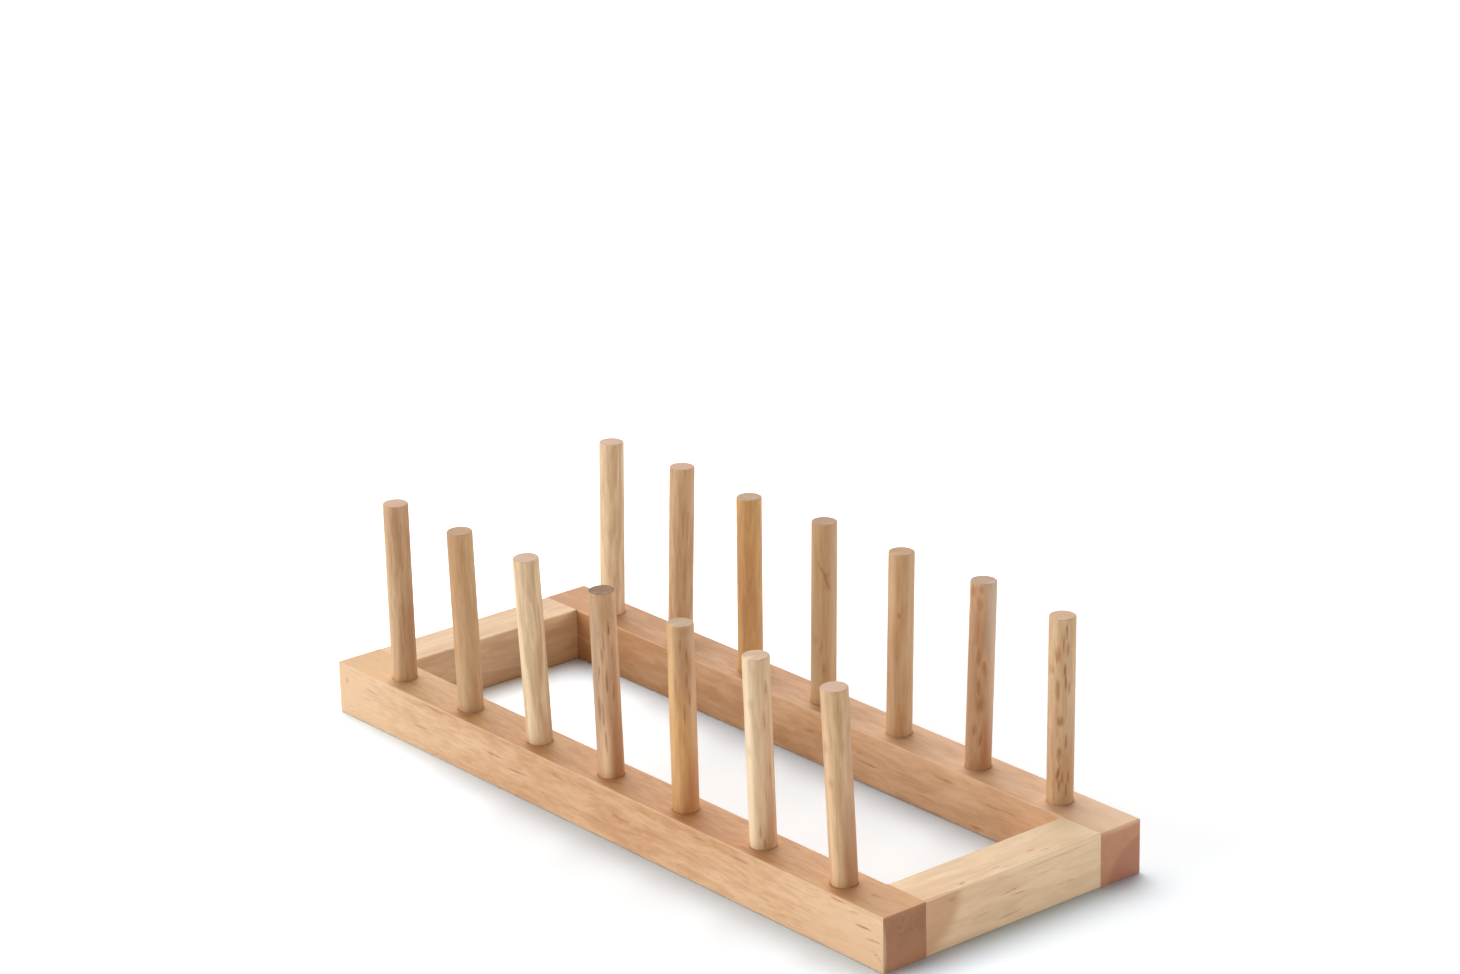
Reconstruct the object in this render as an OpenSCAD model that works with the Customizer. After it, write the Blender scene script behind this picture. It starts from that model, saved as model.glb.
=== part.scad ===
// Wooden plate rack: two long rails and two cross rails make a flat frame,
// and a row of round pegs stands on each long rail. The gaps between the pegs
// are its slots, which run from one long rail to the other.
//
// +X runs along the rack to its right end, +Y from the front rail to the rear
// rail, +Z up. The origin is under the middle of the rack, on the table.
// Pegs are numbered from the right end.

/* [Peg rows] */
// Number of pegs on each long rail
peg_count = 7; // [2:1:12]
// Distance between the centres of neighbouring pegs
peg_pitch = 43.7; // [20:0.1:80]
// From a cross rail's inner face to the centre of the nearest peg
peg_setback = 11.4; // [8:0.1:40]

/* [Frame] */
// Distance between the outer faces of the long rails
rack_width = 125; // [90:1:200]
// Width of each long rail, seen from above
rail_width = 20; // [16:0.5:30]
// Width of each cross rail, seen from above
cross_rail_width = 20; // [18:0.5:30]
// Height of all four rails
rail_height = 21.5; // [17:0.5:30]
// Rounding of the long edges of the rails
edge_radius = 0.8; // [0.2:0.1:2]
// Rounding of the edges round the ends of the long rails
end_edge_radius = 0.3; // [0.1:0.1:1]

/* [Pegs] */
// Diameter of each peg
peg_diameter = 10; // [6:0.5:14]
// Height of the pegs above their rail, before each one's own rise
peg_height = 72; // [40:1:120]
// Depth of each peg hole in its rail
peg_depth = 14; // [8:0.5:15]
// Outward lean of the front pegs from the right end, in degrees, then repeated
front_peg_leans = [2.7, 1.5, 0.4, 1.5]; // [0:0.1:4]
// Outward lean of the rear pegs from the right end, in degrees, then repeated
rear_peg_leans = [0.8, 2.5, 1.6, 1.4]; // [0:0.1:4]
// How far the front pegs stand off the floors of their holes, in the same order
front_peg_rises = [3, 1.5, 1, 1.8]; // [0:0.1:4]
// How far the rear pegs stand off the floors of their holes, in the same order
rear_peg_rises = [0.3, 1.3, 1, 1.6]; // [0:0.1:4]
// Rounding of the peg's upper end
peg_tip_radius = 0.6; // [0.2:0.1:2]
// Chamfer of the peg's lower end, inside the rail
peg_foot_chamfer = 0.8; // [0.2:0.1:2]
// Countersink round the mouth of each peg hole
mouth_chamfer = 0.3; // [0.1:0.1:1]

/* [Corner joints] */
// Diameter of the dowels hidden in the corner joints
dowel_diameter = 6; // [4:0.5:8]
// Distance between the two dowels of one corner
dowel_spacing = 9; // [7.5:0.5:11.5]
// Length of each dowel in the long rail
dowel_in_rail = 12; // [8:0.5:16]
// Length of each dowel in the cross rail
dowel_in_cross_rail = 16; // [10:1:25]
// Chamfer of the dowel's ends
dowel_chamfer = 0.7; // [0.2:0.1:1.5]
// Number of glue grooves along each dowel
groove_count = 12; // [4:1:16]
// Radius of each glue groove
groove_radius = 0.3; // [0.1:0.05:0.5]

/* [Glue gaps] */
// Gap all round each peg and dowel in its hole
glue_gap = 0.05; // [0.02:0.01:0.15]
// Gap past each end of a dowel
dowel_end_gap = 0.5; // [0.2:0.1:1.5]

/* [Hidden] */
$fn = 64;
dowels_per_corner = 2;
groove_sides = 16;

// How far a cut runs past the surface that it opens
cut_past = 2;

// Each row's name and its side of the rack along Y
rows = [["front", -1], ["rear", 1]];
// Each end's name and its side of the rack along X
ends = [["right", 1], ["left", -1]];

row_length = (peg_count - 1) * peg_pitch;
rack_length = row_length + 2 * (peg_setback + cross_rail_width);

// Faces of the frame, counted from the middle of the rack
end_x = rack_length / 2;
inner_x = end_x - cross_rail_width;
outer_y = rack_width / 2;
inner_y = outer_y - rail_width;

peg_radius = peg_diameter / 2;
peg_y = outer_y - rail_width / 2;

dowel_radius = dowel_diameter / 2;
dowel_length = dowel_in_rail + dowel_in_cross_rail;
dowel_x = end_x - cross_rail_width / 2;
dowel_z = rail_height / 2;

// Wood tones
peach_wood = [0.90, 0.73, 0.55];
orange_wood = [0.84, 0.64, 0.45];
pale_wood = [0.90, 0.78, 0.60];
amber_wood = [0.83, 0.63, 0.40];
brown_wood = [0.74, 0.55, 0.38];
dowel_wood = [0.88, 0.79, 0.66];
front_peg_tones = [pale_wood, pale_wood, amber_wood, brown_wood];
rear_peg_tones = [orange_wood, brown_wood, pale_wood, amber_wood];

// The value for a peg, from a list that repeats along the row
function nth(list, number) = list[(number - 1) % len(list)];

function peg_name(row, number) = str(row[0], "_peg_", number);
function dowel_name(row, end, number) =
    str(row[0], "_", end[0], "_dowel_", number);

// Moves its children to a peg's foot on the rail's top, leaning outward
module at_peg(side, number) {
    peg_x = row_length / 2 - (number - 1) * peg_pitch;
    lean = nth(side < 0 ? front_peg_leans : rear_peg_leans, number);
    translate([peg_x, side * peg_y, rail_height])
        rotate([-side * lean, 0, 0])
            children();
}

// Moves its children to a dowel of one corner: their origin goes to the joint
// face, and their Z axis points out, into the long rail
module at_dowel(side, end_side, number) {
    step = number - (dowels_per_corner + 1) / 2;
    translate([end_side * (dowel_x - step * dowel_spacing), side * inner_y, dowel_z])
        rotate([-side * 90, 0, 0])
            children();
}

// Takes the sharp corner off one edge. The edge lies on the Z axis, centred,
// and the solid is on the side of +X and +Y.
module edge_cut(length, radius) {
    linear_extrude(length, center = true)
        difference() {
            translate([-cut_past, -cut_past])
                square(radius + cut_past);
            translate([radius, radius])
                circle(radius);
        }
}

// Cuts along X for a rail whose solid lies towards -Y and -Z from the edge
module edge_cut_x(length, radius) {
    rotate([0, 90, 0])
        mirror([0, 1, 0])
            edge_cut(length, radius);
}

// Cuts along Y for a rail whose solid lies towards -X and -Z from the edge
module edge_cut_y(length, radius) {
    rotate([90, 0, 180])
        mirror([0, 1, 0])
            edge_cut(length, radius);
}

// Repeats its children on the top edge and, turned over, on the bottom edge
module top_and_bottom() {
    children();
    translate([0, 0, rail_height])
        mirror([0, 0, 1])
            children();
}

// Repeats its children at the right end and, mirrored, at the left end
module both_ends() {
    children();
    mirror([1, 0, 0])
        children();
}

// Hole for one peg, with its countersunk mouth
module peg_hole() {
    hole_radius = peg_radius + glue_gap;
    translate([0, 0, -peg_depth])
        cylinder(r = hole_radius, h = peg_depth + cut_past);
    translate([0, 0, -mouth_chamfer])
        cylinder(
            r1 = hole_radius,
            r2 = hole_radius + mouth_chamfer + cut_past,
            h = mouth_chamfer + cut_past
        );
}

// Hole for one dowel, into the long rail and into the cross rail
module dowel_hole() {
    translate([0, 0, -dowel_in_cross_rail - dowel_end_gap])
        cylinder(r = dowel_radius + glue_gap, h = dowel_length + 2 * dowel_end_gap);
}

// A long rail as seen with its outer face at +Y, before its holes are drilled
module rail_blank() {
    difference() {
        translate([-end_x, inner_y, 0])
            cube([rack_length, rail_width, rail_height]);
        top_and_bottom() {
            translate([0, outer_y, rail_height])
                edge_cut_x(rack_length + 2 * cut_past, edge_radius);
            translate([0, inner_y, rail_height])
                mirror([0, 1, 0])
                    edge_cut_x(2 * inner_x, edge_radius);
            both_ends()
                translate([end_x, (inner_y + outer_y) / 2, rail_height])
                    edge_cut_y(rail_width + 2 * cut_past, end_edge_radius);
        }
        both_ends()
            translate([end_x, outer_y, rail_height / 2])
                rotate([0, 0, 180])
                    edge_cut(rail_height + 2 * cut_past, end_edge_radius);
    }
}

// Long rail: a row of peg holes on top and dowel holes near both ends
module rail(side, tone) {
    color(tone)
        difference() {
            scale([1, side, 1])
                rail_blank();
            for (number = [1 : peg_count])
                at_peg(side, number)
                    peg_hole();
            for (end = ends, number = [1 : dowels_per_corner])
                at_dowel(side, end[1], number)
                    dowel_hole();
        }
}

// Cross rail: butts against the inner faces of both long rails, flush with
// their tops, undersides and ends
module cross_rail(end_side, tone) {
    color(tone)
        difference() {
            scale([end_side, 1, 1])
                difference() {
                    translate([inner_x, -inner_y, 0])
                        cube([cross_rail_width, 2 * inner_y, rail_height]);
                    top_and_bottom() {
                        translate([end_x, 0, rail_height])
                            edge_cut_y(2 * inner_y + 2 * cut_past, edge_radius);
                        translate([inner_x, 0, rail_height])
                            mirror([1, 0, 0])
                                edge_cut_y(2 * inner_y + 2 * cut_past, edge_radius);
                    }
                }
            for (row = rows, number = [1 : dowels_per_corner])
                at_dowel(row[1], end_side, number)
                    dowel_hole();
        }
}

// Outline of a peg from its axis outward, its foot at the origin
module peg_outline() {
    length = peg_depth + peg_height;
    difference() {
        union() {
            square([peg_radius, length - peg_tip_radius]);
            square([peg_radius - peg_tip_radius, length]);
            translate([peg_radius - peg_tip_radius, length - peg_tip_radius])
                circle(peg_tip_radius);
        }
        translate([peg_radius, 0])
            rotate(45)
                square(peg_foot_chamfer * sqrt(2), center = true);
    }
}

// Peg: a turned stick glued into its rail, a little off the floor of its hole
module peg(side, number, tone) {
    rise = nth(side < 0 ? front_peg_rises : rear_peg_rises, number);
    color(tone)
        at_peg(side, number)
            translate([0, 0, rise - peg_depth])
                rotate_extrude()
                    peg_outline();
}

// Joint dowel: grooved for the glue, chamfered at both ends
module dowel(side, end_side, number) {
    tip_radius = dowel_radius - dowel_chamfer;
    color(dowel_wood)
        at_dowel(side, end_side, number)
            translate([0, 0, -dowel_in_cross_rail])
                difference() {
                    union() {
                        cylinder(r1 = tip_radius, r2 = dowel_radius, h = dowel_chamfer);
                        translate([0, 0, dowel_chamfer])
                            cylinder(r = dowel_radius, h = dowel_length - 2 * dowel_chamfer);
                        translate([0, 0, dowel_length - dowel_chamfer])
                            cylinder(r1 = dowel_radius, r2 = tip_radius, h = dowel_chamfer);
                    }
                    for (groove = [1 : groove_count])
                        rotate(groove * 360 / groove_count)
                            translate([dowel_radius, 0, -cut_past])
                                cylinder(
                                    r = groove_radius,
                                    h = dowel_length + 2 * cut_past,
                                    $fn = groove_sides
                                );
                }
}

rail(-1, peach_wood);  // front_rail
rail(1, orange_wood);  // rear_rail
cross_rail(1, pale_wood);  // right_cross_rail
cross_rail(-1, pale_wood);  // left_cross_rail
for (number = [1 : peg_count]) {
    peg(-1, number, nth(front_peg_tones, number));
    peg(1, number, nth(rear_peg_tones, number));
}
for (row = rows, end = ends, number = [1 : dowels_per_corner])
    dowel(row[1], end[1], number);
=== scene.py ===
import math
from collections import namedtuple

import bpy
from mathutils import Matrix, Vector


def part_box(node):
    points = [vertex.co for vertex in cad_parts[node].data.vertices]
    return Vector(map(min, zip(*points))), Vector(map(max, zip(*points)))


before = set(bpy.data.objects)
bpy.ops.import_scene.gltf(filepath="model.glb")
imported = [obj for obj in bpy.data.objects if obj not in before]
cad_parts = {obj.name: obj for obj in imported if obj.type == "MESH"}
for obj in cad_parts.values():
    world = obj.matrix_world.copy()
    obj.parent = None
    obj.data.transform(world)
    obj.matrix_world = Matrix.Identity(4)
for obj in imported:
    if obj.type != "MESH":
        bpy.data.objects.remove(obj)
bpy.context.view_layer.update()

# Photograph, whose pixels the camera is solved in
PHOTO_WIDTH = 1460
SENSOR_WIDTH = 36.0

# Camera, in metres and degrees; focal length in pixels of the photograph
CAMERA_PLACE = Vector((1.1632, -0.9540, 0.6534))
CAMERA_AZIMUTH = 50.412
CAMERA_ELEVATION = 19.463
CAMERA_ROLL = -1.283
CAMERA_FOCAL_PIXELS = 4283.4
CAMERA_NEAR = 0.05
CAMERA_FAR = 40.0

# Lamps: where each stands round the rack, in degrees; how bright a white
# surface facing it looks; the angle that it fills, in degrees
LAMPS = {
    "overhead": {"azimuth": -120, "elevation": 60, "level": 0.83, "spread": 52},
    "front": {"azimuth": -22, "elevation": 6, "level": 0.95, "spread": 44},
    "side": {"azimuth": 122, "elevation": 3, "level": 0.58, "spread": 26},
}
WORLD_LEVEL = 0.05
BACKDROP_LEVEL = 1.0

FLOOR_SIZE = 12.0

# The floor's colour as the lamps light it, and as the camera sees it in the open.
# Close to the rack the camera sees it darker and cooler: painted shade, which also
# takes out the warm light that the wood throws on it. And how near the wood has to
# be for that, in metres
FLOOR_TONE = (0.86, 0.86, 0.86, 1)
FLOOR_SEEN = (1.17, 1.19, 1.20, 1)
FLOOR_PAINTED_SHADE = (0.48, 0.74, 0.98, 1)
FLOOR_REACH = 0.045
FLOOR_SAMPLES = 8

# Painted light on the floor: how much brighter the camera sees it at the rack's far
# end, which lightens the rack's shadow there, and where along X that starts and is
# reached, in metres
FLOOR_PAINTED_LIGHT = 1.4
FLOOR_LIFT_FROM = 0.0
FLOOR_LIFT_TO = -0.15

MM = 0.001


def linear(red, green, blue):
    """A colour written in the 0 to 255 values of a screen, as the shaders need it."""
    def channel(value):
        part = value / 255
        return part / 12.92 if part <= 0.04045 else ((part + 0.055) / 1.055) ** 2.4
    return (channel(red), channel(green), channel(blue), 1.0)


# ---------------------------------------------------------------- camera

def make_camera():
    azimuth = math.radians(CAMERA_AZIMUTH)
    elevation = math.radians(CAMERA_ELEVATION)
    roll = math.radians(CAMERA_ROLL)
    back = Vector((
        math.sin(azimuth) * math.cos(elevation),
        -math.cos(azimuth) * math.cos(elevation),
        math.sin(elevation),
    ))
    level_right = Vector((math.cos(azimuth), math.sin(azimuth), 0))
    level_up = back.cross(level_right)
    right = level_right * math.cos(roll) + level_up * math.sin(roll)
    up = level_up * math.cos(roll) - level_right * math.sin(roll)

    data = bpy.data.cameras.new("camera")
    data.sensor_width = SENSOR_WIDTH
    data.lens = CAMERA_FOCAL_PIXELS / PHOTO_WIDTH * SENSOR_WIDTH
    data.clip_start = CAMERA_NEAR
    data.clip_end = CAMERA_FAR
    camera = bpy.data.objects.new("camera", data)
    bpy.context.scene.collection.objects.link(camera)
    turn = Matrix((right, up, back)).transposed()
    camera.matrix_world = Matrix.Translation(CAMERA_PLACE) @ turn.to_4x4()
    bpy.context.scene.camera = camera
    bpy.context.scene.view_settings.view_transform = "Standard"


# ---------------------------------------------------------------- light and floor

def make_lamp(name, azimuth, elevation, level, spread):
    data = bpy.data.lights.new(name, "SUN")
    data.energy = level * math.pi
    data.angle = math.radians(spread)
    lamp = bpy.data.objects.new(name, data)
    turn, lift = math.radians(azimuth), math.radians(elevation)
    towards = Vector((
        math.sin(turn) * math.cos(lift),
        -math.cos(turn) * math.cos(lift),
        math.sin(lift),
    ))
    lamp.rotation_mode = "QUATERNION"
    lamp.rotation_quaternion = towards.to_track_quat("Z", "Y")
    bpy.context.scene.collection.objects.link(lamp)


def make_world():
    world = bpy.data.worlds.new("studio")
    bpy.context.scene.world = world
    world.use_nodes = True
    graph = Graph(world.node_tree)
    path = graph.add("ShaderNodeLightPath")
    seen = graph.math("MAXIMUM", path.outputs["Is Camera Ray"], path.outputs["Is Glossy Ray"])
    lighting = graph.add("ShaderNodeBackground")
    lighting.inputs["Strength"].default_value = WORLD_LEVEL
    backdrop = graph.add("ShaderNodeBackground")
    backdrop.inputs["Strength"].default_value = BACKDROP_LEVEL
    chosen = graph.add("ShaderNodeMixShader")
    graph.link(seen, chosen.inputs["Fac"])
    graph.link(lighting.outputs[0], chosen.inputs[1])
    graph.link(backdrop.outputs[0], chosen.inputs[2])
    output = graph.add("ShaderNodeOutputWorld")
    graph.link(chosen.outputs[0], output.inputs["Surface"])


def make_floor():
    material = new_material("floor")
    graph = Graph(material.node_tree)
    shader = graph.add("ShaderNodeBsdfDiffuse")
    path = graph.add("ShaderNodeLightPath")
    # Painted shade: the camera sees the floor darker and cooler close to the rack
    around = graph.add("ShaderNodeAmbientOcclusion", samples=FLOOR_SAMPLES)
    around.inputs["Distance"].default_value = FLOOR_REACH
    seen = graph.mix(around.outputs["AO"], FLOOR_PAINTED_SHADE, FLOOR_SEEN)
    place = graph.split(graph.add("ShaderNodeTexCoord").outputs["Object"])
    # Painted light: the floor brighter towards the rack's far end, over its shadow
    lift = graph.step(place[0], FLOOR_LIFT_TO, FLOOR_LIFT_FROM, FLOOR_PAINTED_LIGHT, 1.0)
    seen = graph.mix(1.0, seen, graph.vector(lift, lift, lift), blend="MULTIPLY")
    tone = graph.mix(path.outputs["Is Camera Ray"], FLOOR_TONE, seen)
    graph.link(tone, shader.inputs["Color"])
    graph.link(shader.outputs[0], graph.add("ShaderNodeOutputMaterial").inputs["Surface"])

    half = FLOOR_SIZE / 2
    mesh = bpy.data.meshes.new("floor")
    corners = [(-half, -half, 0), (half, -half, 0), (half, half, 0), (-half, half, 0)]
    mesh.from_pydata(corners, [], [(0, 1, 2, 3)])
    mesh.materials.append(material)
    floor = bpy.data.objects.new("floor", mesh)
    bpy.context.scene.collection.objects.link(floor)


# ---------------------------------------------------------------- shader helpers

class Graph:
    """Short calls for the nodes of one material."""

    def __init__(self, tree):
        self.tree = tree
        tree.nodes.clear()

    def add(self, kind, **settings):
        node = self.tree.nodes.new(kind)
        for name, value in settings.items():
            setattr(node, name, value)
        return node

    def link(self, source, target):
        self.tree.links.new(source, target)

    def feed(self, target, value):
        """Puts a number, a vector, a colour or another node's output in a socket."""
        if isinstance(value, bpy.types.NodeSocket):
            self.link(value, target)
        else:
            target.default_value = value

    def math(self, operation, first, second=0.0, third=0.0, clamp=False):
        node = self.add("ShaderNodeMath", operation=operation, use_clamp=clamp)
        for socket, value in zip(node.inputs, (first, second, third)):
            self.feed(socket, value)
        return node.outputs[0]

    def total(self, terms, clamp=False):
        """The sum of several value times factor pairs."""
        result = 0.0
        for value, factor in terms[:-1]:
            result = self.math("MULTIPLY_ADD", value, factor, result)
        return self.math("MULTIPLY_ADD", *terms[-1], result, clamp=clamp)

    def vector_math(self, operation, first, second=(0, 0, 0)):
        node = self.add("ShaderNodeVectorMath", operation=operation)
        self.feed(node.inputs[0], first)
        self.feed(node.inputs[1], second)
        return node.outputs["Value" if operation in ("DOT_PRODUCT", "LENGTH") else "Vector"]

    def vector(self, x, y, z):
        node = self.add("ShaderNodeCombineXYZ")
        for socket, value in zip(node.inputs, (x, y, z)):
            self.feed(socket, value)
        return node.outputs[0]

    def split(self, vector):
        node = self.add("ShaderNodeSeparateXYZ")
        self.link(vector, node.inputs[0])
        return node.outputs

    def mix(self, factor, first, second, blend="MIX"):
        node = self.add("ShaderNodeMix", data_type="RGBA", blend_type=blend)
        self.feed(node.inputs["Factor"], factor)
        self.feed(node.inputs[6], first)
        self.feed(node.inputs[7], second)
        return node.outputs[2]

    def noise(self, vector, detail=2.0, roughness=0.5, distortion=0.0):
        """Noise from 0 to 1, whose scale is set by the vector that it reads."""
        node = self.add("ShaderNodeTexNoise")
        node.inputs["Scale"].default_value = 1.0
        node.inputs["Detail"].default_value = detail
        node.inputs["Roughness"].default_value = roughness
        node.inputs["Distortion"].default_value = distortion
        self.link(vector, node.inputs["Vector"])
        return node.outputs["Fac"]

    def step(self, value, low, high, result_low=0.0, result_high=1.0):
        """Rises smoothly from one result to the other as value goes from low to high."""
        node = self.add("ShaderNodeMapRange", interpolation_type="SMOOTHSTEP")
        for name, item in {
            "Value": value,
            "From Min": low,
            "From Max": high,
            "To Min": result_low,
            "To Max": result_high,
        }.items():
            self.feed(node.inputs[name], item)
        return node.outputs[0]


def new_material(name):
    material = bpy.data.materials.new(name)
    material.use_nodes = True
    return material


# ---------------------------------------------------------------- wood

# Rubberwood: a pale ground with soft bands, patches and mottles, fine fibres and
# short dark pores along the grain. A pair is the length and width of a pattern's
# features in mm, band is the width of a growth band in mm, and the pith is where
# the bands have their middle. tone goes from pale at 0 to deep at 1. It changes by
# ends_tone at ENDS_AT from the middle, and by lean per mm along the grain and across
# it. Where the wood of a rail faces up, its colour is also multiplied by
# top_tint_and_shade: partly the wood's own tone, partly painted shade on the tops.
# slope is how much the bands lean to the grain, wave is how far the grain bends,
# painted_edge_highlight is how pale a painted highlight makes the rounded edges,
# and foot is how much painted shade darkens the foot of a peg.
WOOD = {
    "pale": linear(236, 196, 154),
    "deep": linear(212, 162, 120),
    "dark": linear(150, 94, 54),
    "end": linear(186, 134, 100),
    "end_deep": linear(160, 108, 76),
    "tone": 0.45,
    "top_tint_and_shade": (1.0, 1.0, 1.0, 1.0),
    "ends_tone": 0.0,
    "lean": (0.0, 0.0, 0.0),
    "bend": (30, 12),
    "band": 3.2,
    "band_share": 0.45,
    "drift": (60, 14),
    "blotch": (70, 9),
    "blotch_share": 0.5,
    "mottle": (13, 2.2),
    "mottle_share": 0.4,
    "fibre": (24, 0.5),
    "fibre_share": 0.16,
    "group": (26, 7),
    "pore": (4.2, 0.42),
    "pore_from": 0.60,
    "pore_strength": 0.35,
    "fleck": (8.0, 0.8),
    "fleck_from": 0.68,
    "fleck_strength": 0.45,
    "feather": (12, 0.45),
    "streak": (7, 0.35),
    "pith": (35.0, -28.0),
    "slope": 0.03,
    "wave": 0.8,
    "painted_edge_highlight": 0.0,
    "foot": 0.0,
    "seed": 0.0,
}

# What is added to the seed, so that the patterns of one piece are unlike each other
SHIFTS = {
    "drift": 3.1,
    "blotch": 7.7,
    "fibre": 11.3,
    "group": 17.9,
    "pore": 23.1,
    "fleck": 31.7,
    "bend": 41.3,
    "mottle": 52.9,
    "streak": 61.3,
    "feather": 71.9,
}

# How far a seed moves a pattern along the grain and across it
SEED_STEPS = (1.0, 1.7, 2.3)

# Levels of the noise between which a pattern goes from one end to the other
LEVELS = {
    "band": (0.32, 0.68),
    "blotch": (0.34, 0.66),
    "mottle": (0.36, 0.64),
    "group": (0.38, 0.62),
    "streak": (0.40, 0.60),
}
PORE_FULL = 0.76
FLECK_FULL = 0.80

# The share of the pores that stays outside their groups, and of a narrow mark that
# stays between its streaks
PORES_APART = 0.3
STREAK_LOW = 0.5

# How far the grain bends across per unit of wave; and in mm, how far the bands drift,
# over what length they change, and how far from the middle ends_tone is reached
BEND_V = 4
BEND_W = -3
DRIFT = 5.0
BAND_LENGTH = 120
ENDS_AT = 150

# How squarely a surface faces up, along the grain or along an axis, as the cosines at
# which that starts to count and counts in full
FACES_UP = (0.5, 0.9)
FACES_GRAIN = (0.55, 0.85)
FACES_AXIS = (0.80, 0.97)

# How strong the fibres are on end grain, against the sides
END_RELIEF = 0.35

# How far the fibres of a mark run on past its outline, below which width a mark is
# broken up into streaks, how deep marks reach and how high the painted shade at a
# peg's foot reaches, in mm
FEATHER = 2.5
STREAKED_BELOW = 5
SPOT_DEPTH = 1.5
FOOT_SHADE_HEIGHT = 3.5

# The finish: roughness in the fibres' dips and how much it rises on them, and the
# bump's strength, its height in mm and the fibres' share of it
ROUGHNESS = 0.42
ROUGHNESS_RISE = 0.16
BUMP_STRENGTH = 0.35
BUMP_HEIGHT = 0.06
FIBRE_HEIGHT = 0.4

# A mark, a patch of another tone, or a stripe of painted light or shade on a
# surface: its centre in metres, the surface's normal, the direction of its length,
# its size in mm, its turn in degrees, how soft its edge is, its colour and its
# strength
Spot = namedtuple("Spot", "place normal along length width turn blur colour strength")


class Wood(Graph):
    """The nodes of one piece of wood, whose pattern is placed from origin, in metres."""

    def __init__(self, tree, origin, along, across, look):
        super().__init__(tree)
        self.look = look
        self.along = along
        coordinates = self.add("ShaderNodeTexCoord")
        self.normal = coordinates.outputs["Normal"]

        # Place in mm: u along the grain, v and w across it
        self.place = self.vector_math("MULTIPLY", coordinates.outputs["Object"], (1 / MM,) * 3)
        local = self.vector_math("SUBTRACT", self.place, tuple(origin / MM))
        self.u, self.v, self.w = (
            self.vector_math("DOT_PRODUCT", local, tuple(direction))
            for direction in (along, across, along.cross(across))
        )

        # The grain isn't quite straight
        bend = self.math("SUBTRACT", self.field("bend"), 0.5)
        self.v = self.math("MULTIPLY_ADD", bend, look["wave"] * BEND_V, self.v)
        self.w = self.math("MULTIPLY_ADD", bend, look["wave"] * BEND_W, self.w)

        grain_cosine = self.vector_math("DOT_PRODUCT", self.normal, tuple(along))
        self.facing = self.math("ABSOLUTE", grain_cosine)
        self.fibre = self.fibres()
        self.group = self.step(self.field("group"), *LEVELS["group"])
        self.pore = self.pores()

    def field(self, pattern, **options):
        """The noise of a pattern, from 0 to 1."""
        length, width = self.look[pattern]
        shift = SHIFTS[pattern]
        seed_u, seed_v, seed_w = (self.look["seed"] * step for step in SEED_STEPS)
        spot = self.vector(
            self.math("MULTIPLY_ADD", self.u, 1 / length, seed_u + shift),
            self.math("MULTIPLY_ADD", self.v, 1 / width, seed_v + shift),
            self.math("MULTIPLY_ADD", self.w, 1 / width, seed_w - shift),
        )
        return self.noise(spot, **options)

    def fibres(self):
        """From 0 to 1, and weaker on end grain."""
        relief = self.step(self.facing, *FACES_GRAIN, 1.0, END_RELIEF)
        fibre = self.math("SUBTRACT", self.field("fibre", roughness=0.65), 0.5)
        return self.math("MULTIPLY_ADD", fibre, relief, 0.5)

    def pores(self):
        """Short dashes along the grain, most of them in loose groups."""
        pore = self.step(self.field("pore", detail=1.0), self.look["pore_from"], PORE_FULL)
        share = self.math("MULTIPLY_ADD", self.group, 1 - PORES_APART, PORES_APART)
        return self.math("MULTIPLY", pore, share)

    def bands(self):
        """Growth bands: rings round a pith outside the piece, leaning to its axis."""
        look = self.look
        pith_v, pith_w = look["pith"]
        ring_v = self.total([(self.u, look["slope"]), (self.v, 1.0), (pith_v, -1.0)])
        ring_w = self.math("SUBTRACT", self.w, pith_w)
        radius = self.vector_math("LENGTH", self.vector(ring_v, ring_w, 0))
        radius = self.total([(self.field("drift"), DRIFT), (radius, 1.0)])
        ring = self.vector(
            self.math("MULTIPLY", radius, 1 / look["band"]),
            self.math("MULTIPLY", self.u, 1 / BAND_LENGTH),
            look["seed"],
        )
        return self.noise(ring, detail=3.0, roughness=0.6)

    def tone(self):
        """From pale at 0 to deep at 1."""
        look = self.look
        fields = {
            "band": self.bands(),
            "blotch": self.field("blotch", detail=3.0),
            "mottle": self.field("mottle", detail=2.0),
        }
        patterns = [
            (self.step(field, *LEVELS[pattern], -0.5, 0.5), look[f"{pattern}_share"])
            for pattern, field in fields.items()
        ]
        return self.total([
            (1.0, look["tone"]),
            (self.math("MULTIPLY", self.u, self.u), look["ends_tone"] / ENDS_AT ** 2),
            (self.u, look["lean"][0]),
            (self.v, look["lean"][1]),
            (self.w, look["lean"][2]),
            *patterns,
        ], clamp=True)

    def ground(self):
        """The colour of sides, end grain and fibres."""
        look = self.look
        tone = self.tone()
        sides = self.mix(tone, look["pale"], look["deep"])
        ends = self.mix(tone, look["end"], look["end_deep"])
        colour = self.mix(self.step(self.facing, *FACES_GRAIN), sides, ends)
        if self.along.z < 0.5:
            # Tops of rails: partly the wood's own tone, partly painted shade that darkens them
            looks_up = self.step(self.split(self.normal)[2], *FACES_UP)
            colour = self.mix(looks_up, colour, look["top_tint_and_shade"], blend="MULTIPLY")
        share = look["fibre_share"]
        shade = self.math("MULTIPLY_ADD", self.fibre, share * 2, 1 - share)
        return self.mix(1.0, colour, self.vector(shade, shade, shade), blend="MULTIPLY")

    def with_pores(self, colour):
        """Adds the pores, and flecks, which are larger and only in the groups."""
        look = self.look
        fleck = self.step(self.field("fleck", detail=1.0), look["fleck_from"], FLECK_FULL)
        fleck = self.math("MULTIPLY", fleck, self.group)
        for dash, strength in ((self.pore, "pore_strength"), (fleck, "fleck_strength")):
            colour = self.mix(self.math("MULTIPLY", dash, look[strength]), colour, look["dark"])
        return colour

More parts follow.
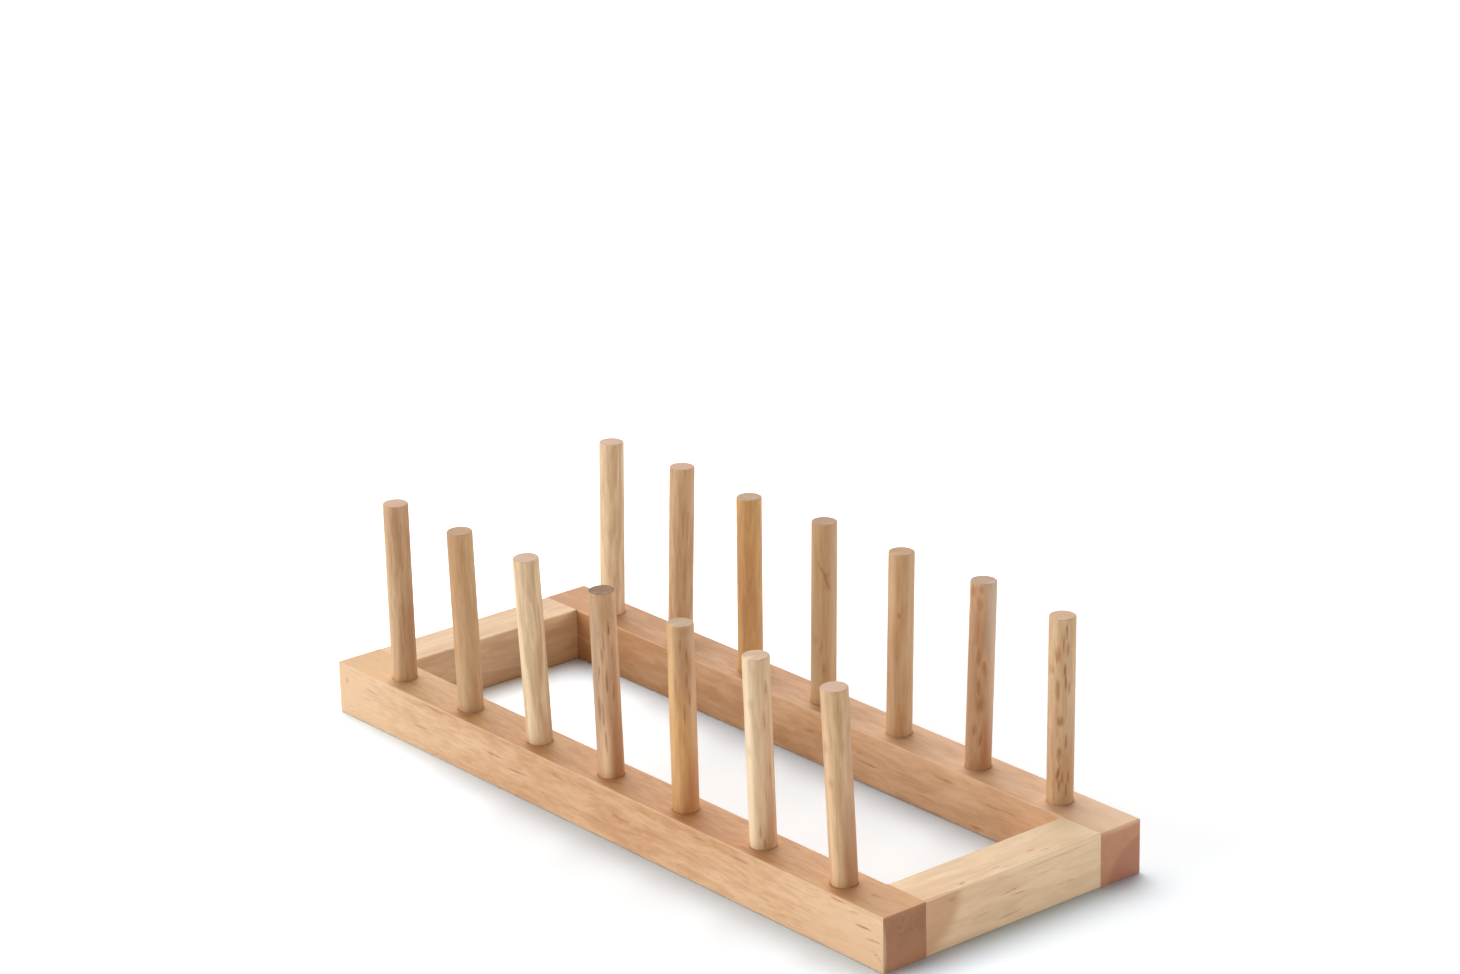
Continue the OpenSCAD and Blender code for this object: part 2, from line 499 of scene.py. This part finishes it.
    def with_spots(self, colour, spots):
        """Adds the marks and patches. Along the grain each fibre of a mark ends at a
        place of its own, and narrow marks are broken up into streaks."""
        if not spots:
            return colour
        shift = self.math("MULTIPLY_ADD", self.field("feather"), FEATHER * 2, -FEATHER)
        shift = self.vector_math("MULTIPLY", self.vector(shift, shift, shift), tuple(self.along))
        feathered = self.vector_math("ADD", self.place, shift)
        streak = self.step(self.field("streak"), *LEVELS["streak"], STREAK_LOW, 1.0)
        for spot in spots:
            on_end = abs(spot.normal.dot(self.along)) > 0.5
            share = self.spot_share(self.place if on_end else feathered, spot)
            if spot.width < STREAKED_BELOW:
                share = self.math("MULTIPLY", share, streak)
            colour = self.mix(share, colour, spot.colour)
        return colour

    def spot_share(self, place, spot):
        """The strength of a mark inside an ellipsoid on the surface, 0 outside it."""
        across = spot.normal.cross(spot.along).normalized()
        turn = math.radians(spot.turn)
        along = spot.along * math.cos(turn) + across * math.sin(turn)
        across = across * math.cos(turn) - spot.along * math.sin(turn)
        axes = Matrix((along, across, spot.normal)).transposed()
        node = self.add("ShaderNodeMapping", vector_type="TEXTURE")
        node.inputs["Location"].default_value = spot.place / MM
        node.inputs["Rotation"].default_value = axes.to_euler()
        node.inputs["Scale"].default_value = (spot.length / 2, spot.width / 2, SPOT_DEPTH)
        self.link(place, node.inputs["Vector"])
        distance = self.vector_math("LENGTH", node.outputs[0])
        return self.step(distance, 1 - spot.blur, 1 + spot.blur, spot.strength, 0.0)

    def with_painted_light(self, colour):
        """Paints a highlight on the rounded edges, and shade on the foot of a peg."""
        look = self.look
        # Painted highlight: the rounded edges paler, as where they catch the light
        if look["painted_edge_highlight"]:
            sides = self.split(self.vector_math("ABSOLUTE", self.normal))
            flat = self.math("MAXIMUM", self.math("MAXIMUM", sides[0], sides[1]), sides[2])
            share = self.step(flat, *FACES_AXIS, look["painted_edge_highlight"], 0.0)
            colour = self.mix(share, colour, look["pale"])
        # Painted shade: the foot of a peg darker, where it meets the rail
        if look["foot"]:
            share = self.step(self.u, 0.0, FOOT_SHADE_HEIGHT, look["foot"], 0.0)
            colour = self.mix(share, colour, look["dark"])
        return colour

    def finish(self, colour):
        """The surface itself, with a fine relief of fibres and pores."""
        pits = self.math("MULTIPLY", self.pore, -1.0)
        bump = self.add("ShaderNodeBump")
        bump.inputs["Strength"].default_value = BUMP_STRENGTH
        bump.inputs["Distance"].default_value = BUMP_HEIGHT * MM
        height = self.math("MULTIPLY_ADD", self.fibre, FIBRE_HEIGHT, pits)
        self.link(height, bump.inputs["Height"])

        shader = self.add("ShaderNodeBsdfPrincipled")
        self.link(colour, shader.inputs["Base Color"])
        roughness = self.math("MULTIPLY_ADD", self.fibre, ROUGHNESS_RISE, ROUGHNESS)
        self.link(roughness, shader.inputs["Roughness"])
        self.link(bump.outputs[0], shader.inputs["Normal"])
        self.link(shader.outputs[0], self.add("ShaderNodeOutputMaterial").inputs["Surface"])


def wood_material(name, origin, along, across, spots, **changes):
    """Wood whose grain runs along one direction. Its pattern is placed from origin, in metres."""
    material = new_material(name)
    wood = Wood(material.node_tree, origin, along, across, dict(WOOD, **changes))
    colour = wood.with_pores(wood.ground())
    colour = wood.with_spots(colour, spots)
    wood.finish(wood.with_painted_light(colour))
    return material


def dress(node, material):
    """Gives a CAD node its finish."""
    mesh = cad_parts[node].data
    for slot in range(len(mesh.materials)):
        mesh.materials[slot] = material


def middle(node):
    low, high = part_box(node)
    return (low + high) / 2


# ---------------------------------------------------------------- rails

BROWN = linear(150, 84, 42)
RED_BROWN = linear(178, 102, 60)
OCHRE = linear(228, 190, 150)
SHELL = linear(240, 204, 170)
# Painted highlight, on a rail's edge and down the front of a peg
PAINTED_HIGHLIGHT = linear(255, 230, 196)
ROSE = linear(206, 155, 111)
END_RED = linear(180, 118, 90)
END_ORANGE = linear(196, 138, 100)
TOFFEE = linear(196, 134, 82)

RAIL_LOOKS = {
    "front_rail": {
        "pale": linear(239, 202, 161),
        "deep": linear(204, 151, 104),
        "end": linear(169, 115, 79),
        "end_deep": linear(140, 87, 57),
        "tone": 0.68,
        "top_tint_and_shade": (0.85, 0.75, 0.59, 1),
        "ends_tone": -0.65,
        # Deeper towards the top: partly the wood's own tone, partly painted light on the lower
        # part, which the lamps leave darker
        "lean": (0.0008, 0.0, 0.014),
        "band_share": 0.20,
        "blotch": (70, 9),
        "blotch_share": 0.35,
        "mottle": (9, 1.6),
        "mottle_share": 0.30,
        "fibre_share": 0.10,
        "wave": 1.4,
        "pore_strength": 0.22,
        "fleck_strength": 0.22,
        "painted_edge_highlight": 0.5,
        "seed": 1.3,
    },
    "rear_rail": {
        "pale": linear(229, 188, 148),
        "deep": linear(198, 147, 99),
        "end": linear(200, 141, 104),
        "end_deep": linear(190, 131, 96),
        "tone": 0.60,
        "top_tint_and_shade": (0.92, 0.86, 0.80, 1),
        "lean": (-0.003, 0.0, 0.0),
        "band_share": 0.28,
        "blotch": (50, 8),
        "blotch_share": 0.45,
        "mottle": (12, 2.0),
        "mottle_share": 0.3,
        "fibre_share": 0.11,
        "wave": 1.4,
        "pore_strength": 0.24,
        "fleck_strength": 0.25,
        "painted_edge_highlight": 0.6,
        "seed": 5.9,
    },
    "right_cross_rail": {
        "pale": linear(248, 217, 178),
        "deep": linear(230, 192, 151),
        "tone": 0.35,
        "top_tint_and_shade": (0.94, 0.93, 0.91, 1),
        # Paler towards the far end: partly the wood's own tone, partly painted light where a
        # peg's shadow falls
        "lean": (-0.010, 0.0, 0.0),
        "band": 3.4,
        "band_share": 0.4,
        "blotch": (30, 7),
        "mottle": (12, 2.6),
        "mottle_share": 0.35,
        "fibre_share": 0.11,
        "wave": 1.6,
        "pore_strength": 0.12,
        "fleck_strength": 0.12,
        "painted_edge_highlight": 0.8,
        "seed": 9.1,
    },
    "left_cross_rail": {
        "pale": linear(244, 210, 170),
        "deep": linear(224, 184, 144),
        "top_tint_and_shade": (0.93, 0.92, 0.90, 1),
        "band": 2.6,
        "pore_strength": 0.16,
        "fleck_strength": 0.14,
        "painted_edge_highlight": 0.7,
        "seed": 12.4,
    },
}

# Marks and patches on the rails, and one painted highlight, as the face, the place
# on it in mm, length, width, turn in degrees, softness, colour and strength. Places
# are along X and Z on the front and inner faces, X and Y on top, Y and Z on the right
# face.
RAIL_MARKS = {
    "front_rail": [
        ("right", -52.5, 0, 26, 15, 0, 0.9, END_ORANGE, 0.6),
        ("front", 150, 8, 54, 22, 0, 0.30, OCHRE, 0.55),
        ("front", 152, 14.5, 8, 0.8, 3, 0.5, BROWN, 0.7),
        ("front", 157, 11, 7, 0.9, 4, 0.5, BROWN, 0.55),
        ("front", 159, 6, 5, 0.8, -35, 0.5, RED_BROWN, 0.6),
        ("front", 139, 20.3, 8, 0.7, 1, 0.5, RED_BROWN, 0.7),
        ("front", 147, 18.5, 6, 0.7, 6, 0.5, BROWN, 0.4),
        ("front", 86, 17.8, 9, 0.8, 0, 0.5, BROWN, 0.55),
        ("front", 63, 18.5, 8, 0.7, 2, 0.5, BROWN, 0.6),
        ("front", 17, 11.5, 10, 0.8, -3, 0.5, BROWN, 0.7),
        ("front", 4, 6.5, 9, 0.7, 2, 0.5, BROWN, 0.5),
        ("front", -20, 16.5, 7, 0.8, -5, 0.5, BROWN, 0.55),
        ("front", -46, 10.5, 10, 0.8, 2, 0.5, BROWN, 0.7),
        ("front", -60, 13, 9, 0.8, 1, 0.5, BROWN, 0.65),
        ("front", -97, 20.2, 10, 0.8, -4, 0.5, BROWN, 0.55),
        ("front", -108, 10, 9, 0.7, 3, 0.5, BROWN, 0.5),
        ("front", -140, 15, 8, 0.8, -6, 0.5, BROWN, 0.5),
        ("front", -157, 15, 3, 1.6, 60, 0.5, RED_BROWN, 0.4),
        ("top", 152, -52.5, 64, 26, 0, 0.7, TOFFEE, 0.45),
        ("top", 147, -52, 5, 1.2, 8, 0.5, BROWN, 0.55),
        ("top", 99, -46, 5, 0.9, 0, 0.5, BROWN, 0.5),
        ("top", 85, -60, 6, 1.6, 4, 0.5, BROWN, 0.5),
        ("top", 40, -50, 9, 0.8, 2, 0.5, BROWN, 0.3),
    ],
    "rear_rail": [
        ("right", 66, -5, 41, 41, 0, 0.08, END_RED, 0.8),
        ("top", 156, 54, 46, 24, 0, 0.7, SHELL, 0.55),
        ("inner", 58, 11, 14, 0.7, 1, 0.5, RED_BROWN, 0.45),
        ("inner", 70, 5.5, 12, 0.8, -2, 0.5, RED_BROWN, 0.4),
        ("inner", 124, 6, 11, 0.8, 2, 0.5, RED_BROWN, 0.45),
        ("inner", 91, 12.2, 22, 3.0, 2, 0.8, SHELL, 0.4),
        ("inner", 52, 16.5, 26, 2.4, -1, 0.8, SHELL, 0.3),
        ("top", 128, 57, 9, 0.7, 4, 0.5, RED_BROWN, 0.45),
        ("top", 118, 46, 8, 0.7, -3, 0.5, RED_BROWN, 0.4),
        ("top", 84, 56, 10, 0.7, 2, 0.5, RED_BROWN, 0.4),
        ("top", 66, 45, 8, 0.7, 0, 0.5, RED_BROWN, 0.4),
        ("top", 30, 57, 9, 0.7, 3, 0.5, RED_BROWN, 0.35),
        ("inner", 4, 12.5, 4, 1.1, 0, 0.5, BROWN, 0.6),
        ("inner", 32, 12, 3, 0.9, 10, 0.5, BROWN, 0.6),
        ("inner", 37, 9, 11, 0.9, 0, 0.5, BROWN, 0.75),
        ("inner", 80, 16, 10, 0.9, 0, 0.5, BROWN, 0.7),
        ("inner", 106, 13.5, 10, 0.8, 2, 0.5, BROWN, 0.5),
        ("inner", 114, 14, 10, 0.7, -2, 0.5, BROWN, 0.5),
        ("inner", 112, 10, 12, 0.6, 0, 0.5, BROWN, 0.4),
        ("inner", 98, 2.2, 7, 1.4, 0, 0.5, RED_BROWN, 0.7),
    ],
    "right_cross_rail": [
        ("right", -47, 22, 42, 42, 0, 0.14, ROSE, 0.75),
        ("top", 160, -23, 3.2, 1.2, 10, 0.5, BROWN, 0.6),
        ("right", -30, 18.5, 4, 1.5, 0, 0.5, RED_BROWN, 0.4),
        ("right", -2, 13, 9, 0.5, 4, 0.5, RED_BROWN, 0.6),
        ("right", 2, 11, 8, 0.5, -3, 0.5, RED_BROWN, 0.55),
        ("right", -3, 4, 10, 0.6, 3, 0.5, RED_BROWN, 0.5),
        ("right", 14, 15, 9, 0.5, 2, 0.5, RED_BROWN, 0.4),
        ("right", 24, 8, 10, 0.5, -2, 0.5, RED_BROWN, 0.4),
        ("right", -16, 8, 8, 0.5, 5, 0.5, RED_BROWN, 0.4),
        # Painted highlight along the rounded top edge of the right face
        ("right", 20, 20.6, 46, 0.9, 0, 0.6, PAINTED_HIGHLIGHT, 0.7),
        ("right", 18, 19.2, 40, 0.7, 1, 0.6, TOFFEE, 0.4),
        ("top", 160.8, 16, 40, 1.0, 0, 0.6, TOFFEE, 0.4),
        ("top", 158, -5, 4, 1.0, 0, 0.5, BROWN, 0.5),
        ("top", 160, -1, 7, 0.8, 0, 0.5, RED_BROWN, 0.45),
        ("top", 156, 14, 4, 1.2, 0, 0.5, RED_BROWN, 0.5),
        ("top", 159, 18, 5, 0.9, 0, 0.5, RED_BROWN, 0.45),
    ],
}

FACES = {
    "front": {"normal": (0, -1, 0), "depth": 1, "side": 0},
    "inner": {"normal": (0, -1, 0), "depth": 1, "side": 0},
    "top": {"normal": (0, 0, 1), "depth": 2, "side": 1},
    "right": {"normal": (1, 0, 0), "depth": 0, "side": 1},
}


def rail_spots(node, grain):
    spots = []
    for face, first, second, *shape in RAIL_MARKS.get(node, []):
        length, width, turn, blur, colour, strength = shape
        settings = FACES[face]
        normal = Vector(settings["normal"])
        place = [first * MM, second * MM]
        place.insert(settings["depth"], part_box(node)[settings["side"]][settings["depth"]])
        along = Vector((0, 1, 0)) if face == "right" else grain
        spots.append(Spot(
            Vector(place), normal, along, length, width, turn, blur, colour, strength
        ))
    return spots


def dress_rails():
    along_x, along_y, along_z = Matrix.Identity(3)
    for node, look in RAIL_LOOKS.items():
        grain, across = (along_y, along_z) if "cross" in node else (along_x, along_y)
        spots = rail_spots(node, grain)
        dress(node, wood_material(f"{node}_wood", middle(node), grain, across, spots, **look))


# ---------------------------------------------------------------- pegs

STRAW = {
    "pale": linear(227, 190, 147),
    "deep": linear(192, 147, 104),
    "end": linear(206, 167, 138),
    "end_deep": linear(196, 155, 126),
    "band": 1.8,
    "pith": (16.0, -14.0),
    "slope": 0.05,
    "mottle": (16, 1.4),
    # Painted shade: deeper towards +X and +Y, the side facing away from the front lamp
    "lean": (0.0, 0.03, 0.03),
    "pore_strength": 0.2,
    "fleck_strength": 0.2,
    # Painted shade at the foot of every peg
    "foot": 0.12,
}
CREAM = dict(
    STRAW,
    pale=linear(246, 218, 177),
    deep=linear(208, 171, 130),
    # Painted shade: deeper towards +X and +Y, the side facing away from the front lamp
    lean=(0.0, 0.045, 0.045),
    end=linear(210, 175, 143),
    end_deep=linear(200, 163, 131),
    band_share=0.7,
)
AMBER = dict(
    STRAW,
    lean=(0.0, 0.0, 0.0),
    pale=linear(226, 177, 112),
    deep=linear(194, 141, 88),
    end=linear(186, 157, 122),
    end_deep=linear(174, 143, 109),
    pore_strength=0.3,
)
UMBER = dict(
    STRAW,
    lean=(0.0, 0.0, 0.0),
    pale=linear(220, 181, 142),
    deep=linear(190, 144, 104),
    end=linear(124, 80, 18),
    end_deep=linear(108, 67, 12),
    pore_strength=0.4,
)
HAZEL = dict(
    STRAW,
    lean=(0.0, 0.0, 0.0),
    pale=linear(226, 193, 152),
    deep=linear(204, 162, 118),
    end=linear(205, 169, 133),
    end_deep=linear(191, 153, 118),
    dark=linear(172, 116, 66),
    fleck=(6.5, 0.9),
    pore_strength=0.5,
    pore_from=0.56,
    fleck_strength=0.6,
    fleck_from=0.58,
)
RUSSET = dict(
    STRAW,
    lean=(0.0, 0.0, 0.0),
    pale=linear(215, 178, 139),
    deep=linear(191, 144, 102),
    end=linear(185, 150, 121),
    end_deep=linear(172, 134, 106),
    dark=linear(156, 92, 58),
    fleck=(6.5, 0.9),
    pore_strength=0.5,
    pore_from=0.56,
    fleck_strength=0.6,
    fleck_from=0.58,
)
HONEY = dict(
    STRAW,
    # Painted light: paler towards +X and +Y, on the rim that the side lamp catches
    lean=(0.0, -0.02, -0.02),
    pale=linear(212, 177, 134),
    deep=linear(199, 148, 97),
    end=linear(187, 146, 107),
    end_deep=linear(176, 135, 96),
)
COPPER = dict(
    # Painted light: paler towards +X and +Y, on the rim that the side lamp catches
    STRAW,
    lean=(0.0, -0.02, -0.02),
    pale=linear(208, 170, 126),
    deep=linear(192, 147, 100),
    end=linear(177, 138, 102),
    end_deep=linear(165, 123, 88),
)

# The looks of the pegs from the right end to the left
PEG_LOOKS = {
    "front": (STRAW, CREAM, AMBER, UMBER, CREAM, HONEY, STRAW),
    "rear": (HAZEL, RUSSET, HONEY, COPPER, AMBER, STRAW, CREAM),
}

# Where the patterns of the first peg of each row start, and how far the next ones are
# apart
ROW_SEEDS = {"front": 3.7, "rear": 43.7}
PEG_SEED_STEP = 3.7

OLIVE = linear(188, 146, 90)
RUST = linear(186, 122, 72)
BARK = linear(166, 100, 46)
BLUSH = linear(214, 178, 150)
WHEAT = linear(236, 200, 150)
PEARL = linear(242, 213, 174)
# Painted light, for the lamp-lit front of a peg
PAINTED_LIGHT = linear(255, 214, 170)
# Painted rim light, for the +X side of a peg
PAINTED_RIM_LIGHT = linear(210, 198, 178)
TAUPE = linear(197, 170, 136)
# Painted shade, down the front of a peg
PAINTED_SHADE = linear(165, 140, 110)

# Marks on the pegs, and stripes of painted light and shade down their sides and at
# their feet, as the height over the rail, the azimuth round the peg in degrees,
# length, width, turn in degrees, softness, colour and strength
PEG_MARKS = {
    "front_peg_1": [
        # Painted light down the front
        (8, 5, 70, 5, 0, 0.9, PAINTED_LIGHT, 0.5),
        # Painted shade at the foot, on the +X side
        (4, 95, 44, 6, 0, 0.9, BARK, 0.65),
        # Painted rim light down the +X side
        (40, 96, 64, 4.0, 0, 0.9, BLUSH, 0.4),
        (65, 60, 22, 2.4, 4, 0.8, OLIVE, 0.6),
        (54, 69, 6, 1.8, 0, 0.8, OLIVE, 0.6),
        (40, 57, 26, 2.2, 2, 0.8, OLIVE, 0.35),
        (22, 59, 14, 1.8, 0, 0.8, OLIVE, 0.2),
        (53, -9, 4, 1.2, 0, 0.55, RUST, 0.44),
        (40, 15, 4, 1.0, 0, 0.55, RUST, 0.44),
    ],
    "front_peg_2": [
        # Painted light down the front
        (40, 3, 80, 6, 0, 0.9, PAINTED_HIGHLIGHT, 0.85),
        # Painted shade at the foot, on the +X side
        (6, 95, 40, 5, 0, 0.9, BARK, 0.4),
        (69, 44, 7, 0.9, 0, 0.7, OLIVE, 0.35),
        (60, 48, 8, 0.8, 0, 0.7, OLIVE, 0.3),
        (56, 21, 4, 1.4, 0, 0.7, OLIVE, 0.5),
        (46, 46, 6, 0.8, 0, 0.7, OLIVE, 0.3),
        (38, 50, 74, 4.5, 0, 0.8, PEARL, 0.55),
        # Painted rim light down the +X side
        (38, 96, 70, 4.5, 0, 0.9, BLUSH, 0.45),
        (37.5, -1, 4, 1.5, 0, 0.7, OLIVE, 0.3),
        (62, 89, 5, 0.7, 0, 0.55, BARK, 0.62),
        (50, 74, 7, 0.6, 2, 0.55, RUST, 0.6),
        (30, 92, 6, 0.7, 0, 0.55, BARK, 0.62),
        (21, 70, 8, 0.6, 3, 0.55, RUST, 0.6),
        # Painted shade at the foot
        (4, 84, 16, 4.5, 0, 0.8, RUST, 0.4),
        (2, 55, 3.5, 0.9, 0, 0.45, BARK, 0.75),
        (7, 41, 5, 0.8, 0, 0.45, BARK, 0.56),
    ],
    "front_peg_3": [
        # Painted light down the front
        (60, 3, 40, 5, 0, 0.9, WHEAT, 0.55),
        (64, 50, 34, 5, 0, 0.9, TAUPE, 0.6),
        # Painted rim light high on the +X side
        (62, 98, 40, 5, 0, 0.9, PAINTED_RIM_LIGHT, 0.4),
        # Painted shade low on the +X side
        (18, 95, 30, 5, 0, 0.9, BARK, 0.2),
        # Painted rim light down the +X side
        (42, 106, 66, 4.0, 0, 0.9, BLUSH, 0.5),
        (52, 68, 40, 3.0, 0, 0.8, RUST, 0.35),
        (71, 61, 3, 4.5, 0, 0.8, BARK, 0.4),
        (60, 62, 26, 8.0, 0, 0.9, BARK, 0.35),
        (66, 48, 6, 0.9, -4, 0.6, BROWN, 0.6),
        (62, -23, 5, 1.5, 0, 0.8, RUST, 0.4),
        (60, 74, 8, 1.0, 4, 0.6, BROWN, 0.65),
        (57.5, 87, 9, 2.0, 0, 0.8, RUST, 0.6),
        (52, 71, 6, 0.9, 0, 0.55, BROWN, 0.7),
        (51, 20, 9, 1.2, 3, 0.7, BROWN, 0.4),
        (45, 26, 7, 1.6, 0, 0.8, RUST, 0.4),
        (45, 83, 6, 1.0, 0, 0.55, BROWN, 0.7),
        (39, 58, 8, 0.8, 2, 0.6, BROWN, 0.5),
        (30, 46, 9, 1.6, 0, 0.8, BARK, 0.4),
        # Painted light low on the front
        (20, -15, 20, 3.0, 0, 0.8, WHEAT, 0.4),
        # Painted shade at the foot
        (7, 82, 26, 6.0, 0, 0.8, RUST, 0.75),
        # Painted shade at the foot
        (4, 40, 18, 6.0, 0, 0.8, RUST, 0.45),
    ],
    "front_peg_4": [
        # Painted shade down the front
        (46, 3, 56, 5.5, 0, 0.9, PAINTED_SHADE, 0.55),
        # Painted light at the foot, on the lamp-lit side
        (3, 34, 34, 7, 0, 0.9, PAINTED_LIGHT, 0.7),
        # Painted shade at the foot, on the +X side
        (6, 98, 50, 6, 0, 0.9, BARK, 0.7),
        (67, 62, 14, 8.0, 0, 0.8, OLIVE, 0.55),
        (60, 73, 5, 0.9, 0, 0.5, BROWN, 0.9),
        (55, 48, 7, 0.5, 3, 0.6, BROWN, 0.6),
        (51, 85, 6, 0.7, 0, 0.5, BROWN, 0.6),
        (49, 39, 6, 0.6, 0, 0.5, BROWN, 0.6),
        (42, 21, 6, 0.6, -5, 0.5, BROWN, 0.7),
        (38.8, 54, 9, 0.6, 0, 0.5, BROWN, 0.85),
        (34, 80, 7, 0.8, -5, 0.5, BROWN, 0.75),
        (28, 16, 8, 0.5, 0, 0.5, BROWN, 0.6),
        (26, 31, 9, 0.5, 0, 0.5, BROWN, 0.65),
        (15, 38, 9, 0.5, 0, 0.5, BROWN, 0.6),
    ],
    "rear_peg_1": [
        (38, 45, 90, 4, 0, 0.9, WHEAT, 0.45),
        # Painted shade at the foot, on the +X side
        (8, 95, 40, 5.5, 0, 0.9, RUST, 0.45),
        (66, 46, 9, 1.2, 0, 0.9, RUST, 0.45),
        (56, 44, 14, 1.4, 0, 0.9, RUST, 0.4),
        (40, 62, 16, 1.6, 0, 0.9, RUST, 0.4),
        (34, 30, 14, 1.4, 0, 0.9, RUST, 0.4),
        (16, 58, 22, 2.2, 0, 0.9, RUST, 0.4),
        (10, 24, 16, 2.0, 0, 0.9, RUST, 0.35),
        (67.5, 65, 6.5, 0.8, 0, 0.45, BROWN, 0.75),
        (63, 53, 7.8, 0.6, 0, 0.45, BROWN, 0.62),
        (61, 70, 5.2, 1.2, 0, 0.55, RUST, 0.88),
        (59, 28, 5.9, 1.4, 0, 0.55, RUST, 0.88),
        (52.6, -7, 3.9, 1, 0, 0.55, RUST, 0.75),
        (52, 59, 6.5, 0.9, 0, 0.45, BROWN, 0.75),
        (47.5, 64, 5.2, 0.9, 0, 0.45, BROWN, 0.75),
        (45.7, 78, 5.2, 0.9, 0, 0.45, BROWN, 0.75),
        (45, 30, 7.8, 0.9, 0, 0.45, BROWN, 0.75),
        (33, 45, 3.9, 1.9, 0, 0.55, BARK, 0.88),
        (25, 68, 4.7, 0.8, 0, 0.45, BROWN, 0.75),
        (20, 39, 5.2, 1, 0, 0.45, BROWN, 0.75),
        (13, 36, 6.5, 1.1, -12, 0.45, BROWN, 0.88),
        (11, 53, 5.2, 0.8, 0, 0.45, BROWN, 0.75),
        (11, 80, 4.5, 0.8, 0, 0.45, BROWN, 0.75),
        (8, 41, 5.2, 0.8, 0, 0.45, BROWN, 0.62),
        (6, 71, 5.2, 0.8, 0, 0.45, BROWN, 0.62),
    ],
    "rear_peg_2": [
        # Painted shade down the front
        (40, 3, 90, 5, 0, 0.9, PAINTED_SHADE, 0.25),
        # Painted shade at the foot
        (3, 5, 16, 6, 0, 0.9, BARK, 0.25),
        # Painted rim light high on the +X side
        (64, 100, 34, 5, 0, 0.9, PAINTED_RIM_LIGHT, 0.6),
        # Painted shade at the foot, on the +X side
        (4, 95, 36, 6, 0, 0.9, BARK, 0.75),
        # Painted rim light down the +X side
        (40, 104, 66, 3.5, 0, 0.8, BLUSH, 0.8),
        (35, -24, 24, 1.8, 0, 0.8, BARK, 0.35),
        (70, -6, 4, 1.3, 0, 0.55, BARK, 0.75),
        (71, 39, 3, 1.2, 0, 0.55, RUST, 0.95),
        (65.6, 33, 5, 1.6, 0, 0.55, RUST, 0.95),
        (56, 27, 16, 2.6, 0, 0.8, RUST, 0.8),
        (45, 36, 6, 1.2, 0, 0.55, BARK, 0.75),
        (40.6, 59, 5, 1.6, 0, 0.55, RUST, 0.95),
        (33, 40, 5, 1.2, 0, 0.55, BARK, 0.75),
        (26, 47, 6, 2.8, 0, 0.8, BARK, 0.7),
        (16, 24, 4, 1.0, 0, 0.55, BARK, 0.62),
        (12, 52, 5, 1.0, 0, 0.55, BARK, 0.75),
        # Painted shade at the foot, on the +X side
        (3, 95, 9, 3.0, 0, 0.8, RUST, 0.7),
    ],
    "rear_peg_3": [
        (40, 3, 90, 5, 0, 0.9, BLUSH, 0.35),
        # Painted shade at the foot, on the +X side
        (4, 95, 20, 5, 0, 0.9, BARK, 0.2),
        (55, 5, 14, 3.0, 0, 0.9, WHEAT, 0.35),
        (49, 42, 2.4, 1.2, 0, 0.45, BARK, 0.62),
        (19, 76, 18, 3.0, 0, 0.8, RUST, 0.4),
        (7, 59, 10, 3.0, 0, 0.8, RUST, 0.45),
    ],
    "rear_peg_4": [
        # Painted shade down the front
        (36, 3, 90, 5, 0, 0.9, PAINTED_SHADE, 0.4),
        # Painted rim light down the +X side
        (46, 97, 64, 5, 0, 0.9, BLUSH, 0.4),
        (56.3, 33, 5, 0.9, 32, 0.6, BROWN, 0.65),
        (53.0, 54, 3.5, 1.2, 20, 0.8, BROWN, 0.5),
        (53.7, 64, 2.6, 0.9, -28, 0.7, BROWN, 0.55),
        (49.9, 63, 4.6, 1.2, 18, 0.5, BARK, 0.95),
        (26.5, 12, 3.5, 1.0, 0, 0.6, BARK, 0.3),
        (23.5, 36, 4, 1.2, -6, 0.6, BARK, 0.5),
        (15, 50, 4, 1.0, 0, 0.6, BARK, 0.4),
    ],
}


def peg_spots(node, foot, axis):
    """The marks of one peg. foot is its middle on the rail's top."""
    low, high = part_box(node)
    radius = (high.x - low.x) / 2
    spots = []
    for height, azimuth, *shape in PEG_MARKS.get(node, []):
        length, width, turn, blur, colour, strength = shape
        around = math.radians(azimuth)
        normal = Vector((math.sin(around), -math.cos(around), 0))
        place = foot + axis * height * MM + normal * radius
        spots.append(Spot(place, normal, axis, length, width, turn, blur, colour, strength))
    return spots


def dress_pegs():
    for row, looks in PEG_LOOKS.items():
        rail = f"{row}_rail"
        for number, look in enumerate(looks):
            node = f"{row}_peg_{number + 1}"
            foot = Vector((middle(node).x, middle(rail).y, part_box(rail)[1].z))
            axis = (middle(node) - foot).normalized()
            across = Vector((1, 0, 0))
            spots = peg_spots(node, foot, axis)
            settings = dict(look, seed=ROW_SEEDS[row] + PEG_SEED_STEP * number)
            dress(node, wood_material(f"{node}_wood", foot, axis, across, spots, **settings))


# ---------------------------------------------------------------- dowels

DOWEL_LOOK = {
    "pale": linear(236, 214, 180),
    "deep": linear(222, 194, 154),
    "end": linear(214, 184, 146),
    "end_deep": linear(202, 168, 130),
    "band": 1.5,
}
DOWEL_SEED = 70


def dress_dowels():
    along, across = Vector((0, 1, 0)), Vector((1, 0, 0))
    dowels = [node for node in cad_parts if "_dowel_" in node]
    for seed, node in enumerate(sorted(dowels), start=DOWEL_SEED):
        settings = dict(DOWEL_LOOK, seed=seed)
        dress(node, wood_material(f"{node}_wood", middle(node), along, across, [], **settings))


# ---------------------------------------------------------------- scene

make_camera()
make_world()
for name, settings in LAMPS.items():
    make_lamp(name, **settings)
make_floor()
dress_rails()
dress_pegs()
dress_dowels()
